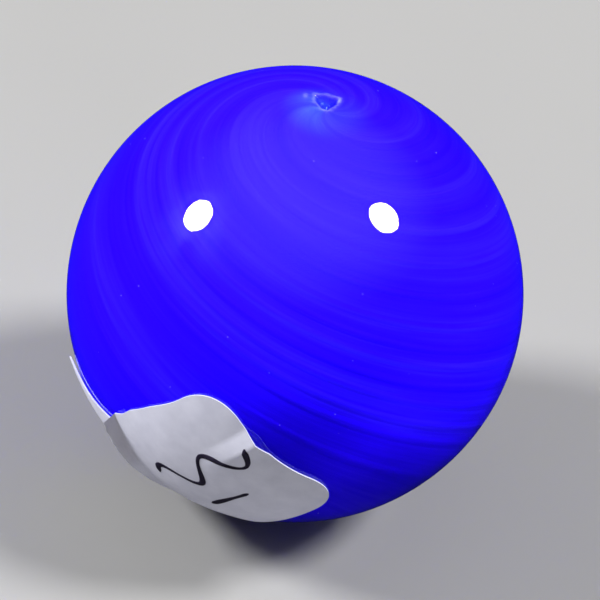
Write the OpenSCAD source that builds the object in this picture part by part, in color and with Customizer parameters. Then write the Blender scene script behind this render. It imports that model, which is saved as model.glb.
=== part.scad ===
// A handmade art-glass ball with a paper price sticker, in millimetres.
// The origin is the ball's centre. +Z runs up the axis that the swirl winds about,
// and -Y is the front, the side that the sticker and most of the swirl are seen from.

/* [Ball] */
// Outside diameter of the glass ball
ball_d = 38; // [30:0.5:50]
// Thickness of the outer gather of clear glass
casing_t = 1; // [0.8:0.1:1.5]
// Thickness of the cobalt blue layer
colour_t = 3; // [1.5:0.1:5]

/* [Swirl] */
// Degrees of turn for each degree down from the top pole, where the swirl is tightest
twist_top = 5.4; // [0:0.1:6]
// The same at the bottom pole, where the twist has died away and turns back a little
twist_bottom = -0.75; // [-1:0.1:2]
// Half the width of one strand, in degrees of longitude
strand_half_w = 5; // [2:0.5:5]
// Thickness of one strand
strand_t = 0.14; // [0.08:0.01:0.15]

/* [Pontil scar] */
// Angle from the top pole down to the scar
scar_colat = 2; // [0:0.5:8]
// Longitude of the scar, from the front towards +X
scar_lon = 150; // [0:5:360]
// Diameter of the broken dish in the casing
scar_d = 2.3; // [1:0.1:2.5]
// Depth of the dish
scar_depth = 0.6; // [0.3:0.05:0.65]

/* [Price sticker] */
// Width of the sticker, along its top edge
label_w = 26; // [22:0.5:28]
// Height of the sticker
label_h = 16; // [12:0.5:18]
// Radius of its corners
label_corner_r = 4; // [1:0.5:5]
// Thickness of its paper
label_t = 0.11; // [0.08:0.01:0.2]
// Longitude of the sticker's centre, from the front towards +X
label_lon = -31.5; // [-90:0.5:90]
// Angle from the top pole down to the sticker's centre
label_colat = 123.5; // [90:0.5:130]
// Turn of the sticker in its own plane
label_spin = 36; // [-90:0.5:90]

/* [Loose end] */
// Length of the sticker's left end that has come unstuck
loose_l = 7; // [3:0.5:9]
// Radius that the loose end curves to, which is flatter than the ball
loose_r = 40; // [25:1:80]

/* [Pen marks] */
// Width of the pen's line
pen_w = 0.45; // [0.3:0.05:0.8]

/* [Hidden] */
$fn = 96;
ball_r = ball_d / 2;
fuse_gap = 0.02; // kept between glass layers that are fused in the real ball
trail_space = 0.24; // depth of the space that the strands lie in
casing_in_r = ball_r - casing_t;
colour_r = casing_in_r - trail_space;
gather_r = colour_r - colour_t;
strand_r = (colour_r + casing_in_r) / 2;

// Where each strand leaves the top pole, in degrees from the front, in the order they were laid.
pale_at = [48, 63, 91, 122, 179, 212, 254, 346];
deep_at = [12, 36, 76, 104, 148, 232, 280, 325];
strand_first = 8; // degrees from the top pole to a strand's first end
strand_last = 172; // and to its last
strand_rings = 60;
strand_taper = 14; // degrees over which an end comes to its full width

dish_r = (pow(scar_d / 2, 2) + pow(scar_depth, 2)) / (2 * scar_depth);
dish_up = ball_r - scar_depth + dish_r; // distance of the dish's own centre from the ball's
stub_clear = 0.01;

adhesive_r = ball_r + 0.01;
adhesive_t = 0.04;
edge_gap = 0.3; // from the paper's edges to the glue film's
paper_r = adhesive_r + adhesive_t + 0.01;
ink_r = paper_r + label_t + 0.01;
ink_t = 0.04;
paper_step = 2; // degrees between the points of the paper's curved cross-section
loose_from = arc(label_w / 2 - loose_l); // angle from the sticker's centre to where it leaves the ball
paper_reach = loose_from + 60; // angle from there to beyond the sticker's far corner
too_far = 3 * ball_d;

// The angle that a length takes on the ball's surface.
function arc(length) = length / ball_r * 180 / PI;

// A point at radius r, at a longitude from the front and an angle down from the top pole.
function on_sphere(r, lon, colat) =
    r * [sin(colat) * sin(lon), -sin(colat) * cos(lon), cos(colat)];

// How far round the swirl has turned at an angle down from the top pole.
function swirl(colat) =
    twist_top * colat + (twist_bottom - twist_top) * colat * colat / 360;

// How much of its full width a strand has at an angle down from the top pole.
function strand_share(colat) =
    max(0.1, min(1, (colat - strand_first) / strand_taper, (strand_last - colat) / strand_taper));

// The four corners of a strand's cross-section: outer ridge, right edge, inner ridge, left edge.
function strand_ring(lon, colat, half_w) = [
    on_sphere(strand_r + strand_t / 2, lon, colat),
    on_sphere(strand_r, lon + half_w, colat),
    on_sphere(strand_r - strand_t / 2, lon, colat),
    on_sphere(strand_r, lon - half_w, colat)
];

// A closed skin over rings of four corners.
function skin_faces(rings) = concat(
    [[0, 2, 1], [0, 3, 2]],
    [for (i = [0:rings - 2], k = [0:3]) [4 * i + k, 4 * i + (k + 1) % 4, 4 * i + 4 + k]],
    [for (i = [0:rings - 2], k = [0:3])
        [4 * i + (k + 1) % 4, 4 * i + 4 + (k + 1) % 4, 4 * i + 4 + k]],
    [[4 * rings - 4, 4 * rings - 3, 4 * rings - 2], [4 * rings - 4, 4 * rings - 2, 4 * rings - 1]]
);

// One lens-shaped strand of glass, wound from the top pole to the bottom.
module strand(start) {
    step = (strand_last - strand_first) / (strand_rings - 1);
    points = [
        for (i = [0:strand_rings - 1])
            let (colat = strand_first + i * step)
            each strand_ring(start + swirl(colat), colat, strand_half_w * strand_share(colat))
    ];
    polyhedron(points = points, faces = skin_faces(strand_rings));
}

module pale_strand(i) {
    color("mediumslateblue") strand(pale_at[i - 1]);
}

module deep_strand(i) {
    color("mediumblue") strand(deep_at[i - 1]);
}

// The first gather of clear glass, which carries the colour.
module inner_gather() {
    color("lightcyan") sphere(gather_r);
}

// The cobalt blue glass that gives the ball its colour.
module cobalt_layer() {
    color("blue") shell(gather_r + fuse_gap, colour_r);
}

// The space between two spheres.
module shell(inner, outer) {
    difference() {
        sphere(outer);
        sphere(inner);
    }
}

// Puts its children on the scar, with the ball's surface across +Z.
module on_scar() {
    rotate([0, scar_colat, scar_lon - 90]) children();
}

// The outer gather, with a conchoidal dish where the pontil rod was cracked off.
module clear_casing() {
    color("lightblue", 0.4) difference() {
        shell(casing_in_r, ball_r);
        on_scar() translate([0, 0, dish_up]) sphere(dish_r);
    }
}

// The stub of rod glass left in the dish: five broken sides and two sloping fractures.
module pontil_stub() {
    color("powderblue") on_scar() intersection() {
        translate([0, 0, dish_up]) sphere(dish_r - stub_clear);
        translate([0, 0, casing_in_r]) linear_extrude(2 * casing_t) stub_outline(scar_d / 3);
        fracture([14, 10, 0], -0.02);
        fracture([-22, -16, 0], 0.02);
    }
}

module stub_outline(r) {
    polygon(r * [[-1, 0.75], [0.85, 0.9], [1.15, 0.35], [0.25, -1.1], [-0.75, -0.35]]);
}

// Everything under a sloping plane, which passes the ball's surface at a height above it.
module fracture(slope, height) {
    size = 10;
    translate([0, 0, ball_r + height]) rotate(slope) translate([0, 0, -size / 2])
        cube(size, center = true);
}

// Puts its children on the sticker: +Z out of the ball through its centre, +X along its width.
module on_label() {
    rotate([0, label_colat, label_lon - 90]) rotate([0, 0, 90 + label_spin]) children();
}

// The same on the line where the loose end leaves the ball.
module on_loose_line() {
    rotate([0, -loose_from, 0]) children();
}

// How far from its middle a length along the ball reaches, as it looks from straight above.
function seen_from_above(length) = ball_r * sin(arc(length));

// A point on the loose end, in a cross-section: [distance from the axis, distance past the line].
function on_loose_end(r, length) =
    let (turn = length / loose_r * 180 / PI)
    [r - loose_r * (1 - cos(turn)), loose_r * sin(turn)];

// The sticker's outline as it looks from straight above, shrunk by an inset.
module label_outline(inset = 0) {
    tip = on_loose_end(paper_r, loose_l);
    left = tip[1] * cos(loose_from) + tip[0] * sin(loose_from) - inset;
    right = seen_from_above(label_w / 2) - inset;
    half_h = seen_from_above(label_h / 2) - inset;
    translate([(right - left) / 2, 0])
        rounded_rectangle((right + left) / 2, half_h, label_corner_r - inset);
}

module rounded_rectangle(half_w, half_h, r) {
    square([2 * (half_w - r), 2 * half_h], center = true);
    square([2 * half_w, 2 * (half_h - r)], center = true);
    for (x = [-1, 1], y = [-1, 1])
        translate([x * (half_w - r), y * (half_h - r)]) circle(r);
}

// The glue film on the stuck part, which stops a little short of the paper's edges.
module label_adhesive() {
    color("ghostwhite") sticker_layer(edge_gap) polygon(concat(
        stuck_arc(adhesive_r + adhesive_t, arc(edge_gap)),
        reversed(stuck_arc(adhesive_r, arc(edge_gap)))
    ));
}

// The paper: it follows the ball where it is stuck, and a flatter arc where it is loose.
module price_label() {
    outer_r = paper_r + label_t;
    color("white") sticker_layer(0) polygon(concat(
        reversed(loose_arc(outer_r)),
        stuck_arc(outer_r, 0),
        reversed(stuck_arc(paper_r, 0)),
        loose_arc(paper_r)
    ));
}

// A layer of the sticker: its child is the cross-section along the sticker's width, with the
// ball's centre at the origin, and it is turned about the ball and cut to the outline.
module sticker_layer(inset) {
    on_label() intersection() {
        on_loose_line() rotate([0, -90, 0]) rotate_extrude() children();
        linear_extrude(too_far) label_outline(inset);
    }
}

// Points of a cross-section where the sticker follows the ball, from an angle past the line.
function stuck_arc(r, from) =
    [for (t = [from:paper_step:paper_reach]) r * [cos(t), -sin(t)]];

// Points of a cross-section along the loose end, to just past its tip.
function loose_arc(r) = [for (l = [1:loose_l + 1]) on_loose_end(r, l)];

function reversed(points) = [for (i = [len(points) - 1:-1:0]) points[i]];

// A meaningless pen scribble: a row of half circles joined end to end, and a short bar.
module pen_marks() {
    color("midnightblue") on_label() intersection() {
        shell(ink_r, ink_r + ink_t);
        linear_extrude(too_far) scribble();
    }
}

module scribble() {
    wave_r = 1.4;
    wave_at = [2.2, 1.4]; // middle of the first half circle
    bar_at = [2.6, -2.8];
    bar_l = 5.2;
    for (i = [0:3])
        translate(wave_at + [2 * i * wave_r, 0]) half_ring(wave_r, i % 2 == 0 ? 1 : -1);
    translate(bar_at) square([bar_l, pen_w]);
}

// Half of a pen-wide ring, on the +Y side or the -Y side.
module half_ring(r, side) {
    intersection() {
        difference() {
            circle(r + pen_w / 2);
            circle(r - pen_w / 2);
        }
        translate([0, side * r]) square([4 * r, 2 * r], center = true);
    }
}

inner_gather();
cobalt_layer();
for (i = [1:len(pale_at)])
    pale_strand(i);
for (i = [1:len(deep_at)])
    deep_strand(i);
clear_casing();
pontil_stub();
label_adhesive();
price_label();
pen_marks();
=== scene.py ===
"""Looks of a handmade art-glass ball: a wound cobalt swirl under clear glass, with a paper price sticker.

Lengths in this file are in millimetres and angles in degrees, unless a name says otherwise, and
make_piece turns them into metres. The origin is the ball's centre, -Y is the front, and the swirl
winds about +Z, give or take a small lean. Longitude is turned from the front towards +X, and
colatitude from the top pole.
"""
import math

import bmesh
import bpy
import numpy as np
from mathutils import Matrix, Vector


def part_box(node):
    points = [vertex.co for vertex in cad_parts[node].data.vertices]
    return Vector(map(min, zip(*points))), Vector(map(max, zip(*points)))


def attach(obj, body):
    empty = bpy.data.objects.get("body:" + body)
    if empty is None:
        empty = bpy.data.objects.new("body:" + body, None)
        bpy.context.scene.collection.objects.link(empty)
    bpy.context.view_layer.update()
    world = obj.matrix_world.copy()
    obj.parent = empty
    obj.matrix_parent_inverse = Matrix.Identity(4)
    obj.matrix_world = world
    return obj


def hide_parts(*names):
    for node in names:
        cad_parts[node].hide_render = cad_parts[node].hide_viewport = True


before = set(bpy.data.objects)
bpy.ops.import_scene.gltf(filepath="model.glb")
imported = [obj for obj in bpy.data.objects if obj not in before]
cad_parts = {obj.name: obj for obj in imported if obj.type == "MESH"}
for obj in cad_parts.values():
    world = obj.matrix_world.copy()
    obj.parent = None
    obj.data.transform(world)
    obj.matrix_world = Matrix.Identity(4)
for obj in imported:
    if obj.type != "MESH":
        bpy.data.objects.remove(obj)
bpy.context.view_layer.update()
MM = 0.001


def half_height(node):
    """Half the height of a CAD node that is centred on the origin, which is its radius."""
    low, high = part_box(node)
    return (high.z - low.z) / 2 / MM


# Glass, from the frame
BALL_R = half_height("clear_casing")
CORE_R = half_height("cobalt_layer")

# Swirl
TWIST_TOP = 5.4  # degrees of turn for each degree down from the top pole
TWIST_BOTTOM = -0.75
LEAN = (-1.3, 1.5)  # of the swirl's axis from the ball's, about X and about Y
PALE_AT = [48, 63, 91, 122, 179, 212, 254, 346]
DEEP_AT = [12, 36, 76, 104, 148, 232, 280, 325]
STRAND_HALF_W = 5.0  # degrees, as are the three below
STRAND_FIRST = 8.0
STRAND_LAST = 172.0
STRAND_TAPER = 14.0
STRAND_T = 0.05
STRAND_TUCK = 0.008  # how far a strand's edges lie below the core's surface
STRAND_ROOT = 0.1  # how far its underside does

# Sticker. On it, p runs across from its middle and q runs up from there.
LABEL_LON = -29.73
LABEL_COLAT = 124.35
LABEL_SPIN = 38.86
LABEL_W = 26.0
LABEL_H = 16.0
LABEL_CORNER_R = 4.0
LABEL_T = 0.12
LABEL_LEFT = 13.65  # from the middle to the loose end, which has stretched a little
TIP_CORNER_R = 6.19  # of the loose end's upper corner, which has worn rounder
PAPER_GAP = 0.045  # from the glass to the paper, which the glue film fills
LOOSE_L = 7.0  # length of the end that has come unstuck
LOOSE_R = 42.08  # radius that the loose end bends to
SHEET_GRID = (181, 101)  # points across and up

# Its pleat: a standing fold that runs down from the top edge and fades out
PLEAT_AT = 0.1  # p of its right crease, at the top edge
PLEAT_SLANT = 0.38  # how far the crease moves right for each millimetre up
PLEAT_RIDGE = 0.44  # from the right crease to the ridge
PLEAT_FOOT = 1.74  # from the right crease to the left one
PLEAT_H = 1.08
PLEAT_END = -5.0  # q where it has faded out
PLEAT_TIP = 0.38  # how far the pleat tips the loose end up, for each millimetre out
PLEAT_STEP = -1.34  # how far it moves the whole of that end up, so this one goes down
EDGE_RISE = 0.33  # how far the top edge has moved up, to the right of the pleat

# Its smaller folds
EDGE_FOLD_AT = 1.71  # q of the fold that runs in from the right end
EDGE_FOLD_W = 1.5
EDGE_FOLD_H = 0.54
EDGE_FOLD_FROM = 6.5  # p where it begins
DENT_AT = 7.4  # p of a faint crease at the top edge
DENT_SLANT = 0.3
DENT_W = 1.6
DENT_H = 0.05
DENT_FROM = 3.0  # q where it begins
RIPPLE = 0.015

# The glue under it, which holds only the part to the right of the pleat
GLUE_INSET = 0.3
GLUE_FROM = 0.5
GLUE_CLEAR = 0.005  # kept between the film and the paper


# ---------------------------------------------------------------- meshes


def make_piece(name, points, faces, material, slot, replaces=(), smooth=True):
    """A mesh piece that rides on the ball. Points are in millimetres."""
    mesh = bpy.data.meshes.new(name)
    mesh.from_pydata((np.asarray(points) * MM).tolist(), [], faces)
    mesh.materials.append(material)
    mesh.polygons.foreach_set("use_smooth", [smooth] * len(mesh.polygons))
    mesh.update()
    piece = bpy.data.objects.new(name, mesh)
    bpy.context.scene.collection.objects.link(piece)
    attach(piece, "root")
    if replaces:
        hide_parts(*replaces)
    return piece


def grid_faces(rows, columns, first=0, wrap=False):
    """Quads over a grid of points stored row by row. With wrap, the last column meets the first."""
    faces = []
    for row in range(rows - 1):
        for column in range(columns if wrap else columns - 1):
            right = (column + 1) % columns
            a = first + row * columns
            b = a + columns
            faces.append((a + column, b + column, b + right, a + right))
    return faces


def polar_sphere(turns, segments, radius_at):
    """A closed sphere of rings about +Z. turns are the rings' angles from +Z in radians, and
    radius_at takes unit directions and gives radii."""
    lon = np.arange(segments) * 2 * np.pi / segments
    directions = [[0, 0, 1]]
    for turn in turns:
        across = np.sin(turn)
        ring = np.stack([across * np.cos(lon), across * np.sin(lon), np.full(segments, np.cos(turn))], 1)
        directions.extend(ring.tolist())
    directions.append([0, 0, -1])
    directions = np.array(directions)
    points = directions * radius_at(directions)[:, None]
    last = len(points) - 1
    bottom = last - segments
    faces = [(0, 1 + i, 1 + (i + 1) % segments) for i in range(segments)]
    faces += grid_faces(len(turns), segments, first=1, wrap=True)
    faces += [(last, bottom + (i + 1) % segments, bottom + i) for i in range(segments)]
    return points, faces


def turn_matrix(axis, degrees):
    return np.array(Matrix.Rotation(math.radians(degrees), 3, axis))


def on_sphere(lon, colat):
    """Unit directions at longitudes and colatitudes in degrees."""
    lon, colat = np.broadcast_arrays(np.radians(lon), np.radians(colat))
    across = np.sin(colat)
    return np.stack([across * np.sin(lon), -across * np.cos(lon), np.cos(colat)], -1)


def swirl(colat):
    """How far round the swirl has turned at a colatitude."""
    return TWIST_TOP * colat + (TWIST_BOTTOM - TWIST_TOP) * colat * colat / 360


def lean_matrix():
    """Turns the swirl's own axes into the ball's."""
    return turn_matrix("X", LEAN[0]) @ turn_matrix("Y", LEAN[1])


def rim_pairs(rows, columns):
    """Neighbouring points round the outside of a grid, as pairs of indices."""
    size = rows * columns
    rim = list(range(columns))
    rim += [row * columns + columns - 1 for row in range(1, rows)]
    rim += [size - 1 - i for i in range(1, columns)]
    rim += [row * columns for row in range(rows - 2, 0, -1)]
    return list(zip(rim, rim[1:] + rim[:1]))


def sheet_faces(rows, columns, first=0):
    """Faces of a closed sheet, from one grid of points, the same grid at another level, and the
    strip round their edges."""
    size = rows * columns
    outer = grid_faces(rows, columns, first)
    inner = [tuple(size + i for i in reversed(face)) for face in outer]
    pairs = [(first + a, first + b) for a, b in rim_pairs(rows, columns)]
    strip = [(a, b, b + size, a + size) for a, b in pairs]
    return outer + inner + strip


def smooth_step(x, low, high):
    """0 below low, 1 above high, and a smooth rise between them."""
    t = np.clip((x - low) / (high - low), 0, 1)
    return t * t * (3 - 2 * t)


# ---------------------------------------------------------------- materials


def new_material(name):
    material = bpy.data.materials.new(name)
    material.use_nodes = True
    return material, material.node_tree, material.node_tree.nodes["Principled BSDF"]


def put(tree, socket, value):
    """Links a socket to another one, or sets it to a number or a colour."""
    if isinstance(value, bpy.types.NodeSocket):
        tree.links.new(value, socket)
    else:
        socket.default_value = value


def calc(tree, operation, a, b=0.0):
    node = tree.nodes.new("ShaderNodeMath")
    node.operation = operation
    put(tree, node.inputs[0], a)
    put(tree, node.inputs[1], b)
    return node.outputs[0]


def noise(tree, vector, scale, detail=2.0, roughness=0.5):
    node = tree.nodes.new("ShaderNodeTexNoise")
    put(tree, node.inputs["Vector"], vector)
    node.inputs["Scale"].default_value = scale
    node.inputs["Detail"].default_value = detail
    node.inputs["Roughness"].default_value = roughness
    return node.outputs["Fac"]


def rgba(value):
    """Four channels, from a grey tone or from a colour of three or four channels."""
    if isinstance(value, float):
        value = (value, value, value)
    return (*value, 1.0)[:4]


def ramp(tree, factor, stops, interpolation="LINEAR"):
    """A colour ramp with stops of (place, grey tone or colour)."""
    node = tree.nodes.new("ShaderNodeValToRGB")
    node.color_ramp.interpolation = interpolation
    elements = node.color_ramp.elements
    while len(elements) < len(stops):
        elements.new(0.5)
    for element, (place, colour) in zip(elements, stops):
        element.position = place
        element.color = rgba(colour)
    put(tree, node.inputs[0], factor)
    return node.outputs[0]


def blend_colours(tree, factor, a, b):
    """Colour a where the factor is 0, and b where it is 1."""
    node = tree.nodes.new("ShaderNodeMix")
    node.data_type = "RGBA"
    put(tree, node.inputs[0], factor)
    put(tree, node.inputs[6], a)
    put(tree, node.inputs[7], b)
    return node.outputs[2]


def position(tree):
    """Where a point is on the object, in metres."""
    return tree.nodes.new("ShaderNodeTexCoord").outputs["Object"]


def vector_of(tree, x, y, z):
    node = tree.nodes.new("ShaderNodeCombineXYZ")
    for socket, value in zip(node.inputs, (x, y, z)):
        put(tree, socket, value)
    return node.outputs[0]


def bump(tree, height, strength, distance):
    node = tree.nodes.new("ShaderNodeBump")
    put(tree, node.inputs["Height"], height)
    node.inputs["Strength"].default_value = strength
    node.inputs["Distance"].default_value = distance
    return node.outputs[0]


def swirl_coordinates(tree):
    """(longitude at which a point's streak left the top pole, colatitude), both in radians."""
    split = tree.nodes.new("ShaderNodeSeparateXYZ")
    upright = tree.nodes.new("ShaderNodeVectorRotate")
    upright.rotation_type = "EULER_XYZ"
    upright.inputs["Rotation"].default_value = (-math.radians(LEAN[0]), -math.radians(LEAN[1]), 0)
    put(tree, upright.inputs["Vector"], position(tree))
    normalise = tree.nodes.new("ShaderNodeVectorMath")
    normalise.operation = "NORMALIZE"
    put(tree, normalise.inputs[0], upright.outputs[0])
    put(tree, split.inputs[0], normalise.outputs[0])
    x, y, z = split.outputs
    colat = calc(tree, "ARCCOSINE", z)
    lon = calc(tree, "ARCTAN2", x, calc(tree, "MULTIPLY", y, -1.0))
    bend = math.degrees((TWIST_BOTTOM - TWIST_TOP) / 360)
    twist = calc(tree, "ADD", calc(tree, "MULTIPLY", colat, bend), TWIST_TOP)
    turned = calc(tree, "MULTIPLY", colat, twist)
    phase = calc(tree, "SUBTRACT", lon, turned)
    return phase, colat


def around(tones):
    """Ramp stops over a full turn from (degrees, tone), so that the end meets the start."""
    first_at, first_tone = tones[0]
    last_at, last_tone = tones[-1]
    share = (360 - last_at) / (360 - last_at + first_at)
    seam = last_tone + (first_tone - last_tone) * share
    return [(0.0, seam), *((place / 360, tone) for place, tone in tones), (1.0, seam)]


def turn_share(tree, phase):
    """A phase in radians as a share of a full turn, from 0 to 1."""
    return calc(tree, "FRACT", calc(tree, "DIVIDE", phase, 2 * math.pi))


def streaks(tree, phase, colat):
    """How pale the wound glass is at a point, from 0 to 1: the laid strands, and finer streaks."""
    tones = sorted([(place, PALE_TONE) for place in PALE_AT] + [(place, DEEP_TONE) for place in DEEP_AT])
    laid = ramp(tree, turn_share(tree, phase), around(tones), "EASE")
    cosine = calc(tree, "COSINE", phase)
    sine = calc(tree, "SINE", phase)
    mixed = calc(tree, "MULTIPLY", laid, LAID_WEIGHT)
    for weight, change, scale, detail in STREAK_LAYERS:
        drawn_out = vector_of(tree, cosine, sine, calc(tree, "MULTIPLY", colat, change))
        part = noise(tree, drawn_out, scale, detail)
        mixed = calc(tree, "ADD", mixed, calc(tree, "MULTIPLY", part, weight))
    total = LAID_WEIGHT + sum(layer[0] for layer in STREAK_LAYERS)
    return calc(tree, "DIVIDE", mixed, total)


def wound_glass(name, deep, middle, pale):
    """Opaque blue glass, wound into streaks, with a chalky veil beside the scar."""
    material, tree, shader = new_material(name)
    phase, colat = swirl_coordinates(tree)
    tone = streaks(tree, phase, colat)
    body = ramp(tree, tone, [(0.34, deep), (0.5, middle), (0.67, pale)])
    side = ramp(tree, turn_share(tree, phase), around(VEIL), "EASE")
    near_pole = tree.nodes.new("ShaderNodeMapRange")
    near_pole.interpolation_type = "SMOOTHSTEP"
    put(tree, near_pole.inputs["Value"], colat)
    near_pole.inputs["From Min"].default_value = math.radians(VEIL_END)
    near_pole.inputs["From Max"].default_value = math.radians(VEIL_START)
    veil = calc(tree, "MULTIPLY", calc(tree, "MULTIPLY", near_pole.outputs[0], side), tone)
    put(tree, shader.inputs["Base Color"], blend_colours(tree, veil, body, VEIL_COLOUR))
    shader.inputs["Roughness"].default_value = 0.6
    shader.inputs["Specular IOR Level"].default_value = 0.0
    return material


def attribute(tree, name):
    """A value that give() has stored at each point."""
    node = tree.nodes.new("ShaderNodeAttribute")
    node.attribute_name = name
    return node.outputs["Fac"]


def clear_glass():
    """Fire-polished clear glass: tinted dark in the broken pit as painted shade, and frosted where it is
    crushed.
    """
    material, tree, shader = new_material("clear_glass")
    frost = attribute(tree, "crushed")
    smudge = ramp(tree, noise(tree, position(tree), 420.0, 4.0), [(0.45, 0.2), (0.7, 1.0)])
    put(tree, shader.inputs["Coat Weight"], calc(tree, "MULTIPLY", attribute(tree, "smudged"), smudge))
    shader.inputs["Coat Roughness"].default_value = 0.35
    # Painted shade: the clear glass inside the broken pit is tinted dark navy.
    clear = blend_colours(tree, attribute(tree, "pit_shade"), (0.99, 0.99, 1.0, 1), (0.10, 0.13, 0.30, 1))
    put(tree, shader.inputs["Base Color"], blend_colours(tree, frost, clear, (0.03, 0.21, 0.85, 1)))
    put(tree, shader.inputs["Roughness"], calc(tree, "MULTIPLY", frost, 0.45))
    seen_through = calc(tree, "SUBTRACT", 1.0, calc(tree, "MULTIPLY", frost, 0.8))
    put(tree, shader.inputs["Transmission Weight"], seen_through)
    shader.inputs["IOR"].default_value = 1.5
    return material


def rod_glass():
    """Crushed glass of the pontil rod: pale and frosted, with paler patches that are partly the frosting
    and partly painted glints on the broken faces.
    """
    material, tree, shader = new_material("rod_glass")
    glint_patches = noise(tree, position(tree), 3000.0, 3.0)
    # The paler end of this ramp is partly frosted glass and partly painted highlight: glints on the
    # broken faces.
    colour = ramp(tree, glint_patches, [(0.35, (0.06, 0.10, 0.75)), (0.65, (0.32, 0.50, 1.0))])
    put(tree, shader.inputs["Base Color"], colour)
    put(tree, shader.inputs["Roughness"], ramp(tree, glint_patches, [(0.4, 0.12), (0.7, 0.5)]))
    shader.inputs["Transmission Weight"].default_value = 0.25
    shader.inputs["IOR"].default_value = 1.5
    return material


def gather_glass():
    """Clear glass with faint cords in it, for the gather inside the colour."""
    material, tree, shader = new_material("gather_glass")
    cords = noise(tree, position(tree), 180.0, 2.0)
    colour = ramp(tree, cords, [(0.3, (0.80, 0.88, 0.95)), (0.7, (0.92, 0.96, 1.0))])
    put(tree, shader.inputs["Base Color"], colour)
    put(tree, shader.inputs["Roughness"], ramp(tree, cords, [(0.3, 0.02), (0.7, 0.06)]))
    shader.inputs["Transmission Weight"].default_value = 1.0
    return material


def seed_glass():
    """Bubbles, drawn opaque: some painted blue like the glass behind them, and some painted pale as
    glints.
    """
    material, tree, shader = new_material("seed_glass")
    glint = noise(tree, position(tree), 900.0, 1.0)
    # Painted highlight: the pale end of this ramp stands in for glints on the bubbles.
    colour = ramp(tree, glint, [(0.4, (0.02, 0.01, 0.5)), (0.6, (0.25, 0.2, 1.0))])
    put(tree, shader.inputs["Base Color"], colour)
    shader.inputs["Roughness"].default_value = 0.15
    return material


def label_paper():
    """Uncoated paper: a bluish white, partly its own cool tint and partly painted blue light bounced from
    the ball, faintly mottled, with a fibre grain and painted shade along its crease.
    """
    material, tree, shader = new_material("label_paper")
    mottle = noise(tree, position(tree), 420.0, 4.0, 0.6)
    fibres = noise(tree, position(tree), 5200.0, 4.0, 0.7)
    # The blue in these tones is partly painted reflection: blue light bounced off the ball onto the
    # paper.
    colour = ramp(tree, mottle, [(0.3, (0.54, 0.545, 0.66)), (0.7, (0.63, 0.635, 0.75))])
    # Painted shade: the paper is darkened to a warm grey along the pleat's crease.
    shaded_crease = calc(tree, "MULTIPLY", attribute(tree, "crease_shade"), 0.35)
    colour = blend_colours(tree, shaded_crease, colour, (0.42, 0.38, 0.40, 1))
    put(tree, shader.inputs["Base Color"], colour)
    put(tree, shader.inputs["Normal"], bump(tree, fibres, 0.35, 0.00004))
    put(tree, shader.inputs["Roughness"], ramp(tree, fibres, [(0.3, 0.75), (0.7, 0.95)]))
    shader.inputs["Specular IOR Level"].default_value = 0.2
    return material


def pen_ink():
    """Purple-black ink, darker where it has pooled."""
    material, tree, shader = new_material("pen_ink")
    pooled = noise(tree, position(tree), 1500.0, 3.0)
    colour = ramp(tree, pooled, [(0.3, (0.010, 0.007, 0.022)), (0.7, (0.03, 0.022, 0.06))])
    put(tree, shader.inputs["Base Color"], colour)
    put(tree, shader.inputs["Roughness"], ramp(tree, pooled, [(0.3, 0.35), (0.7, 0.6)]))
    return material


def glue_film():
    """Yellowed, stringy adhesive."""
    material, tree, shader = new_material("glue_film")
    strings = noise(tree, position(tree), 700.0, 3.0)
    colour = ramp(tree, strings, [(0.3, (0.70, 0.68, 0.60)), (0.7, (0.85, 0.84, 0.80))])
    put(tree, shader.inputs["Base Color"], colour)
    put(tree, shader.inputs["Roughness"], ramp(tree, strings, [(0.3, 0.2), (0.7, 0.5)]))
    return material


# ---------------------------------------------------------------- glass

DEEP = (0.0115, 0.0003, 0.84)
MIDDLE = (0.0160, 0.0016, 0.93)
PALE = (0.0235, 0.0075, 0.97)
PALE_TONE = 0.85  # of a laid strand, where 0 is the deepest blue and 1 the palest
DEEP_TONE = 0.15
LAID_WEIGHT = 0.5  # of the laid strands, beside the weights of the finer streaks
STREAK_LAYERS = [  # (weight, how fast it changes along a streak, scale across it, detail)
    (0.4, 0.45, 4.0, 1.0),
    (0.8, 0.15, 13.0, 2.0),
    (0.9, 0.15, 36.0, 3.0),
]
VEIL = [  # (phase in degrees, strength)
    (30, 0.25), (120, 0.15), (195, 0.9), (228, 0.5), (262, 0.9), (298, 0.8), (335, 0.3),
]
VEIL_START = 2.0  # colatitude down to which the veil is full
VEIL_END = 13.0
VEIL_COLOUR = (0.05, 0.12, 0.98, 1)


def cobalt_core():
    """The blue layer's surface."""
    turns = np.linspace(0, np.pi, 182)[1:-1]
    points, faces = polar_sphere(turns, 360, lambda d: np.full(len(d), CORE_R))
    material = wound_glass("cobalt_glass", DEEP, MIDDLE, PALE)
    return make_piece("cobalt_swirl", points, faces, material, "cobalt_glass", ["cobalt_layer"])


def strand_share(colat):
    """How much of its full width and height a strand has at a colatitude."""
    from_end = np.minimum(colat - STRAND_FIRST, STRAND_LAST - colat)
    return np.clip(from_end / STRAND_TAPER, 0.05, 1)


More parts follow.
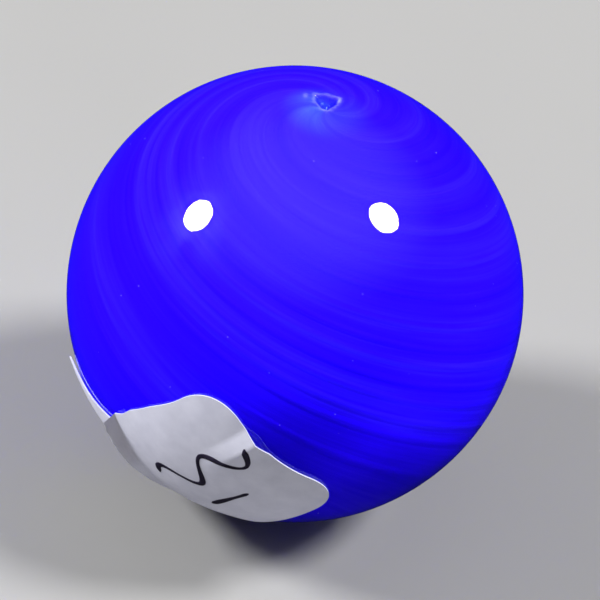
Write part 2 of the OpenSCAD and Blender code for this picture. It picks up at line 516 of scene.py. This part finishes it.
def strand(start, number):
    """Points and faces of one strand: a low ridge of glass that rises out of the core."""
    rings, across = 220, 13
    colat = np.linspace(STRAND_FIRST, STRAND_LAST, rings)
    wander = 0.8 * np.sin(np.radians(colat) * 3 + number)
    share = strand_share(colat)
    side = np.linspace(-1, 1, across)
    points = []
    for c, w, s in zip(colat, wander, share):
        height = STRAND_T * s * math.sin(math.radians(c))
        lon = start + w + swirl(c) + STRAND_HALF_W * s * side
        directions = on_sphere(lon, np.full(across, c)) @ lean_matrix().T
        outer = CORE_R - STRAND_TUCK + (height + STRAND_TUCK) * (1 - side * side) ** 2
        points.append(directions * outer[:, None])
        points.append(directions[::-1] * (CORE_R - STRAND_ROOT))
    points = np.concatenate(points)
    loop = 2 * across
    faces = grid_faces(rings, loop, wrap=True)
    faces.append(tuple(range(loop)))
    faces.append(tuple(reversed(range(loop * (rings - 1), loop * rings))))
    return points, faces


def strands(name, starts, node_prefix, slot):
    """All the strands of one blue, as one piece."""
    points, faces = joined(strand(start, number) for number, start in enumerate(starts))
    nodes = [f"{node_prefix}_{i + 1}" for i in range(len(starts))]
    return make_piece(name, points, faces, wound_glass(slot, DEEP, MIDDLE, PALE), slot, nodes)


# The scar, in its own plane: x to the right and y away from the front
SCAR_SIDES = [  # (x and y of the corner where a side begins, slope of the fracture from it)
    (-1.05, 0.85, 0.9),
    (-0.1, 1.05, 1.3),
    (0.95, 0.8, 1.1),
    (0.8, -0.25, 0.8),
    (0.15, -1.3, 1.2),
    (-0.4, -1.15, 0.7),
    (-1.0, -0.1, 1.0),
]
SCAR_DEPTH = 0.5
FINE_R = 3.0  # how far out from the scar's axis the casing's mesh is fine
SHARDS = [  # (x, y, depth, size each way)
    (0.06, -0.83, 0.20, (0.035, 0.15, 0.08)),
    (-0.35, 0.35, 0.45, (0.10, 0.13, 0.04)),
    (0.20, 0.15, 0.50, (0.08, 0.10, 0.04)),
]
CRUSHED_SPOTS = [  # (middle, half size, strength)
    ((0.95, 0.45), (0.17, 0.40), 0.26),
    ((0.0, -1.25), (0.30, 0.15), 0.14),
    ((-0.15, 0.30), (0.28, 0.25), 0.10),
    ((-1.80, 0.55), (0.16, 0.35), 0.12),
    ((-0.95, 0.45), (0.12, 0.40), 0.08),
]
SMUDGE_AT = (-0.46, -0.60, 0.66)  # towards a greasy fingerprint on the ball
SMUDGE_SPREAD = 15.0
SMUDGE_WEIGHT = 0.10
CASING_DROP = 0.025  # mean distance of the uneven surface below the true sphere
CASING_SWAY = 0.012
SEED_COUNT = 110


def scar_frame():
    """Rotation that takes +Z to the scar's axis, with +Y away from the front."""
    low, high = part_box("pontil_stub")
    up = ((low + high) / 2).normalized()
    right = Vector((1, 0, 0))
    back = up.cross(right).normalized()
    right = back.cross(up).normalized()
    return np.array([right, back, up]).T


def inside_scar(x, y):
    """How far inside each side of the scar's outline points are."""
    corners = np.array(SCAR_SIDES)[:, :2]
    distances = []
    for start, end in zip(corners, np.roll(corners, -1, axis=0)):
        along = (end - start) / np.linalg.norm(end - start)
        distances.append((x - start[0]) * along[1] - (y - start[1]) * along[0])
    return np.array(distances)


def scar_depth(x, y):
    """Depth of the broken pit: sloping fractures from each side, down to two tilted floors."""
    ripple = 0.03 * np.sin(9 * x + 4 * y) + 0.02 * np.sin(13 * y - 5 * x)
    slopes = np.array(SCAR_SIDES)[:, 2]
    sides = np.min(slopes[:, None] * inside_scar(x, y), axis=0)
    floors = np.minimum(SCAR_DEPTH + 0.25 * x - 0.1 * y, SCAR_DEPTH - 0.3 * x + 0.15 * y)
    return np.clip(np.minimum(sides, floors + ripple), 0, None)


def blob(x, y, at, size):
    """1 in the middle of a soft oval spot, and falling to 0 outside it."""
    return np.exp(-((x - at[0]) / size[0]) ** 2 - ((y - at[1]) / size[1]) ** 2)


def give(piece, name, values):
    """Stores a value between 0 and 1 at each point of a piece for its material to read."""
    layer = piece.data.attributes.new(name, "FLOAT", "POINT")
    layer.data.foreach_set("value", np.clip(values, 0, 1).astype(np.float32))


def casing():
    """The clear outer gather: a little uneven, with the broken pit and its crushed rim."""
    fine = FINE_R / BALL_R
    turns = np.concatenate([np.linspace(0, fine, 91)[1:], np.linspace(fine, np.pi, 176)[1:-1]])
    turn = scar_frame()

    def radius(directions):
        across = directions @ turn.T
        sway = np.sin(across[:, 0] * 3.1 + 1) * np.sin(across[:, 1] * 2.7 + 2)
        sway += np.sin(across[:, 2] * 4.3 + across[:, 0] * 2)
        near = directions[:, 2] > 0.9
        x, y = directions[:, 0] * BALL_R, directions[:, 1] * BALL_R
        lip = 0.03 * np.exp(-((inside_scar(x, y).min(0) + 0.15) / 0.2) ** 2)
        return BALL_R - CASING_DROP + CASING_SWAY * sway + np.where(near, lip - scar_depth(x, y), 0)

    points, faces = polar_sphere(turns, 360, radius)
    placed = points @ turn.T
    piece = make_piece("clear_skin", placed, faces, clear_glass(), "clear_glass", ["clear_casing"])
    x, y, above = points[:, 0], points[:, 1], points[:, 2] > 0
    inside = inside_scar(x, y).min(0)
    ragged = 0.05 * np.sin(7 * x + 3) + 0.05 * np.sin(11 * y + 5 * x)
    width = 0.15 + 0.04 * np.sin(5 * x - 4 * y)
    crushed = 0.09 * np.exp(-((inside + 0.04 + ragged) / width) ** 2)
    for at, size, weight in CRUSHED_SPOTS:
        crushed += weight * blob(x, y, at, size)
    give(piece, "crushed", crushed * above)
    # Where the pit's painted shade lies, inside the scar's outline.
    give(piece, "pit_shade", smooth_step(inside, -0.05, 0.2) * above)
    spot = np.array(SMUDGE_AT) / np.linalg.norm(SMUDGE_AT)
    cosine = placed @ spot / np.linalg.norm(placed, axis=1)
    off = np.degrees(np.arccos(np.clip(cosine, -1, 1)))
    give(piece, "smudged", SMUDGE_WEIGHT * np.exp(-(off / SMUDGE_SPREAD) ** 2))
    piece.visible_shadow = False
    return piece


def splinter(generator, centre, size):
    """Points and faces of a sharp sliver, as the hull of a few scattered points."""
    shape = bmesh.new()
    for offset in generator.normal(size=(9, 3)) * size:
        shape.verts.new(centre + offset)
    result = bmesh.ops.convex_hull(shape, input=shape.verts)
    loose = [v for v in result["geom_interior"] if isinstance(v, bmesh.types.BMVert)]
    bmesh.ops.delete(shape, geom=loose, context="VERTS")
    shape.verts.index_update()
    points = [v.co[:] for v in shape.verts]
    faces = [tuple(v.index for v in f.verts) for f in shape.faces]
    shape.free()
    return points, faces


def joined(parts):
    """One (points, faces) from several."""
    points, faces = [], []
    for part_points, part_faces in parts:
        first = len(points)
        points.extend(np.asarray(part_points).tolist())
        faces.extend(tuple(first + i for i in face) for face in part_faces)
    return np.array(points), faces


def shards():
    """Splinters of rod glass in the pit and beside it."""
    generator = np.random.default_rng(11)
    parts = []
    for x, y, depth, size in SHARDS:
        level = BALL_R - depth - (x * x + y * y) / (2 * BALL_R)
        parts.append(splinter(generator, np.array([x, y, level]), np.array(size)))
    points, faces = joined(parts)
    points = points @ scar_frame().T
    nodes = ["pontil_stub"]
    return make_piece("pontil_shards", points, faces, rod_glass(), "rod_glass", nodes, smooth=False)


def seeds():
    """Tiny bubbles caught in the clear glass."""
    generator = np.random.default_rng(5)
    colat = np.degrees(np.arccos(generator.uniform(-0.95, 0.97, SEED_COUNT)))
    lon = generator.uniform(0, 360, SEED_COUNT)
    parts = []
    for direction in on_sphere(lon, colat):
        size = generator.uniform(0.02, 0.055)
        ball, faces = polar_sphere(np.linspace(0, np.pi, 8)[1:-1], 10, lambda d: np.full(len(d), size))
        parts.append((ball + direction * generator.uniform(CORE_R + 0.3, BALL_R - 0.2), faces))
    return make_piece("casing_seeds", *joined(parts), seed_glass(), "clear_glass")


# ---------------------------------------------------------------- sticker


LABEL_TURN = turn_matrix("Z", LABEL_LON - 90) @ turn_matrix("Y", LABEL_COLAT)
LABEL_TURN = LABEL_TURN @ turn_matrix("Z", 90 + LABEL_SPIN)
LOOSE_FROM = LABEL_W / 2 - LOOSE_L  # from the sticker's centre to the line where it leaves the ball


def pleat_lines(q):
    """Where the pleat's right crease, its ridge and its left crease cross a height q."""
    right = PLEAT_AT + PLEAT_SLANT * (q - LABEL_H / 2)
    return right, right - PLEAT_RIDGE, right - PLEAT_FOOT


def folds(p, q):
    """How far the paper stands off the glass, in its own coordinates: p across and q up."""
    right, ridge, left = pleat_lines(q)
    pleat = np.clip(np.minimum((right - p) / (right - ridge), (p - left) / (ridge - left)), 0, 1)
    height = PLEAT_H * pleat * smooth_step(q, PLEAT_END, LABEL_H / 2)
    across = np.clip(1 - np.abs(q - EDGE_FOLD_AT) / EDGE_FOLD_W, 0, 1)
    height += EDGE_FOLD_H * across * smooth_step(p, EDGE_FOLD_FROM, LABEL_W / 2)
    dent = np.clip(1 - np.abs(p - DENT_AT - DENT_SLANT * (q - LABEL_H / 2)) / DENT_W, 0, 1)
    height += DENT_H * dent * smooth_step(q, DENT_FROM, LABEL_H / 2)
    return height + RIPPLE + RIPPLE * np.sin(0.9 * p + 1) * np.sin(0.7 * q + 2)


def pulled(p, q):
    """Where the pleat has pulled points of the flat sticker to: it tips the loose end up."""
    right, _, left = pleat_lines(q)
    share = np.clip((right - p) / (right - left), 0, 1)
    rise = EDGE_RISE * smooth_step(q, 2, LABEL_H / 2) * smooth_step(p, 1, 3) * (1 - smooth_step(p, 5, 9))
    return p, q + (PLEAT_TIP * (PLEAT_AT - p) + PLEAT_STEP) * share + rise


def paper_points(p, q, lift):
    """Where points of the sticker lie, at a distance above the glue side of the paper."""
    height = folds(p, q) + lift
    p, q = pulled(p, q)
    base = BALL_R + PAPER_GAP
    y = base * np.sin(q / BALL_R)
    inner = np.sqrt(base ** 2 - y ** 2)
    straight = np.arcsin(np.clip(base * np.sin(p / BALL_R) / inner, -1, 1))
    angle = np.where(p > 0, straight, np.maximum(p, -LOOSE_FROM) / BALL_R)
    loose = np.clip(-LOOSE_FROM - p, 0, None) / LOOSE_R
    reach = base - LOOSE_R * (1 - np.cos(loose))
    deep = np.sqrt(reach ** 2 - y ** 2)
    local = np.stack([-LOOSE_R * np.sin(loose), y, deep], -1)
    normal = np.stack([-np.sin(loose), np.cos(loose) * y / reach, np.cos(loose) * deep / reach], -1)
    local = local + normal * height[..., None]
    cosine, sine = np.cos(angle), np.sin(angle)
    x = local[..., 0] * cosine + local[..., 2] * sine
    z = -local[..., 0] * sine + local[..., 2] * cosine
    return np.stack([x, local[..., 1], z], -1) @ LABEL_TURN.T


def corner_cut(q, half_h, corner):
    """How much shorter the sticker is at a height q, because of a rounded corner."""
    over = np.clip(np.abs(q) - (half_h - corner), 0, corner)
    return corner - np.sqrt(corner ** 2 - over ** 2)


def label_grid(columns, rows, inset=0.0, left=None):
    """Points (p, q) over the sticker's rounded outline, row by row. left cuts its left part off."""
    half_h = LABEL_H / 2 - inset
    q = half_h * np.sin(np.linspace(-np.pi / 2, np.pi / 2, rows))
    cut = corner_cut(q, half_h, LABEL_CORNER_R - inset)
    tip_cut = np.where(q > 0, corner_cut(q, half_h, TIP_CORNER_R - inset), cut)
    if left is None:
        low = tip_cut - LABEL_LEFT + inset
    else:
        low = np.full(rows, left + inset)
    high = LABEL_W / 2 - inset - cut
    p = low[:, None] + (high - low)[:, None] * np.linspace(0, 1, columns)
    return p, np.repeat(q[:, None], columns, 1)


def sheet_piece(name, p, q, bottom, top, material, slot, replaces):
    """A thin closed sheet over a grid of (p, q), between two distances from the glue side."""
    rows, columns = p.shape
    size = rows * columns
    points = np.concatenate([
        paper_points(p, q, np.full(p.shape, top)).reshape(-1, 3),
        paper_points(p, q, np.full(p.shape, bottom)).reshape(-1, 3),
    ])
    faces = [face[::-1] for face in sheet_faces(rows, columns)]
    piece = make_piece(name, points, faces, material, slot, replaces)
    cut = {frozenset((a + level, b + level)) for a, b in rim_pairs(rows, columns) for level in (0, size)}
    for edge in piece.data.edges:
        edge.use_edge_sharp = frozenset(edge.vertices) in cut
    return piece


def price_sticker():
    """The paper, with painted shade along the pleat's right crease."""
    p, q = label_grid(*SHEET_GRID)
    piece = sheet_piece("price_sticker", p, q, 0.0, LABEL_T, label_paper(), "paper", ["price_label"])
    right, _, _ = pleat_lines(q)
    # Where the painted crease shade lies, along the pleat's right crease.
    crease = np.exp(-((p - right + 0.2) / 0.45) ** 2) * smooth_step(q, 1.5, 4.5)
    give(piece, "crease_shade", np.concatenate([crease.ravel()] * 2))
    return piece


def glue():
    """The film of adhesive under the paper."""
    p, q = label_grid(*SHEET_GRID, inset=GLUE_INSET, left=GLUE_FROM)
    nodes = ["label_adhesive"]
    return sheet_piece("glue_film", p, q, -PAPER_GAP, -GLUE_CLEAR, glue_film(), "adhesive", nodes)


PEN_HALF_W = 0.24
INK_TOP = 0.03  # above the paper's face, as is the next
INK_BOTTOM = 0.005


def scribble_paths():
    """The middles of two meaningless pen strokes: a wavy line, and a short bar under it."""
    t = np.linspace(0, 1, 160)
    wave = np.stack([0.8 + 11.2 * t, 1.4 + 1.35 * np.sin(4 * np.pi * t + 0.3) + 0.2 * t], 1)
    s = np.linspace(0, 1, 50)
    bar = np.stack([2.6 + 5.2 * s, -2.8 + 0.3 * s + 0.15 * np.sin(3 * s)], 1)
    return [wave, bar]


def scribble():
    """Pen strokes as ribbons on the paper, thicker where the pen slows down."""
    points, faces = [], []
    across = np.linspace(-1, 1, 5)
    for path in scribble_paths():
        along = np.gradient(path, axis=0)
        speed = np.linalg.norm(along, axis=1)
        side = np.stack([-along[:, 1], along[:, 0]], 1) / speed[:, None]
        ends = np.minimum(np.arange(len(path)), np.arange(len(path))[::-1]) / 4.0
        pace = 0.9 + 0.25 * np.sin(np.arange(len(path)) * 0.13)
        width = PEN_HALF_W * pace * np.sqrt(np.clip(ends, 0.03, 1))
        p = path[:, 0, None] + side[:, 0, None] * width[:, None] * across
        q = path[:, 1, None] + side[:, 1, None] * width[:, None] * across
        faces += sheet_faces(*p.shape, first=sum(len(level) for level in points))
        for lift in (INK_TOP, INK_BOTTOM):
            points.append(paper_points(p, q, np.full(p.shape, LABEL_T + lift)).reshape(-1, 3))
    return make_piece("pen_scribble", np.concatenate(points), faces, pen_ink(), "ink", ["pen_marks"])


# ---------------------------------------------------------------- camera, lights and floor

CAMERA_ELEVATION = 36.5
CAMERA_ROLL = 8.2
CAMERA_DISTANCE = 320.0
BALL_SHARE = 0.76333  # of half the picture's width that the ball's radius fills
AIM = (0.42, -0.50)  # the picture's middle, to the right of the ball's and above it

LAMPS = [  # (name, direction in the camera's axes, radiance)
    ("lamp_left", (-0.6965, 0.5677, 0.4390), 92.0),
    ("lamp_right", (0.6579, 0.5607, 0.5033), 76.0),
]
LAMP_DISTANCE = 1.6  # metres, as is the size
LAMP_SIZE = 0.40
WORLD_GLOW = [(0.0, 0.008), (0.45, 0.03), (1.0, 0.52)]  # (height in the sky, grey tone)


def add_camera():
    """Puts the camera in front of the ball and above it, and gives the way it is turned."""
    tilt = Matrix.Rotation(math.radians(90 - CAMERA_ELEVATION), 4, "X")
    turn = tilt @ Matrix.Rotation(math.radians(CAMERA_ROLL), 4, "Z")
    data = bpy.data.cameras.new("camera")
    data.sensor_width = 36.0
    half_angle = math.asin(BALL_R / CAMERA_DISTANCE)
    data.lens = data.sensor_width / 2 * BALL_SHARE / math.tan(half_angle)
    camera = bpy.data.objects.new("camera", data)
    camera.matrix_world = turn @ Matrix.Translation(Vector((AIM[0], AIM[1], CAMERA_DISTANCE)) * MM)
    data.clip_start = 0.01
    data.clip_end = 10.0
    bpy.context.scene.collection.objects.link(camera)
    bpy.context.scene.camera = camera
    return turn.to_3x3()


def add_lamp(name, direction, radiance):
    """A round area light that faces the ball."""
    data = bpy.data.lights.new(name, "AREA")
    data.shape = "DISK"
    data.size = LAMP_SIZE
    data.energy = math.pi * (math.pi * LAMP_SIZE ** 2 / 4) * radiance
    lamp = bpy.data.objects.new(name, data)
    lamp.location = direction.normalized() * LAMP_DISTANCE
    lamp.rotation_mode = "QUATERNION"
    lamp.rotation_quaternion = direction.to_track_quat("Z", "Y")
    lamp.visible_camera = False
    lamp.visible_transmission = False
    bpy.context.scene.collection.objects.link(lamp)


def add_world():
    """A dim room, with a soft pale glow overhead."""
    world = bpy.data.worlds.new("studio")
    world.use_nodes = True
    tree = world.node_tree
    split = tree.nodes.new("ShaderNodeSeparateXYZ")
    put(tree, split.inputs[0], tree.nodes.new("ShaderNodeTexCoord").outputs["Generated"])
    glow = ramp(tree, split.outputs[2], WORLD_GLOW, "EASE")
    put(tree, tree.nodes["Background"].inputs["Color"], glow)
    bpy.context.scene.world = world


def add_lights(view):
    """Two round studio lamps, one on each side of the camera."""
    for name, direction, radiance in LAMPS:
        add_lamp(name, view @ Vector(direction), radiance)


def add_floor():
    """A pale sweep all round: a flat floor that curves up into a low wall."""
    flat, bend, wall = 1600.0, 500.0, 900.0
    curve = np.linspace(0, np.pi / 2, 13)[1:]
    profile = [(r, 0.0) for r in (60.0, 200.0, 600.0, flat)]
    profile += [(flat + bend * math.sin(a), bend * (1 - math.cos(a))) for a in curve]
    profile.append((flat + bend, bend + wall))
    segments = 96
    lon = np.arange(segments) * 2 * np.pi / segments
    circle = np.stack([np.cos(lon), np.sin(lon), 0 * lon], 1)
    rings = [circle * r + (0, 0, z - BALL_R) for r, z in profile]
    points = np.concatenate([[[0, 0, -BALL_R]], *rings])
    faces = [(0, 1 + i, 1 + (i + 1) % segments) for i in range(segments)]
    faces += grid_faces(len(profile), segments, first=1, wrap=True)
    material, tree, shader = new_material("floor_card")
    tint = noise(tree, position(tree), 14.0, 3.0)
    colour = ramp(tree, tint, [(0.3, (0.275, 0.273, 0.270)), (0.7, (0.29, 0.288, 0.285))])
    put(tree, shader.inputs["Base Color"], colour)
    shader.inputs["Roughness"].default_value = 0.9
    shader.inputs["Specular IOR Level"].default_value = 0.1
    mesh = bpy.data.meshes.new("floor")
    mesh.from_pydata((points * MM).tolist(), [], faces)
    mesh.materials.append(material)
    mesh.polygons.foreach_set("use_smooth", [True] * len(mesh.polygons))
    floor = bpy.data.objects.new("floor", mesh)
    floor.visible_glossy = False
    bpy.context.scene.collection.objects.link(floor)


# ---------------------------------------------------------------- the ball

cobalt_core()
strands("pale_strands", PALE_AT, "pale_strand", "pale_blue_glass")
strands("deep_strands", DEEP_AT, "deep_strand", "deep_blue_glass")
casing()
shards()
seeds()
price_sticker()
glue()
scribble()

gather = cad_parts["inner_gather"]
gather.data.materials.clear()
gather.data.materials.append(gather_glass())

view = add_camera()
add_lights(view)
add_world()
add_floor()
bpy.context.scene.view_settings.view_transform = "Standard"
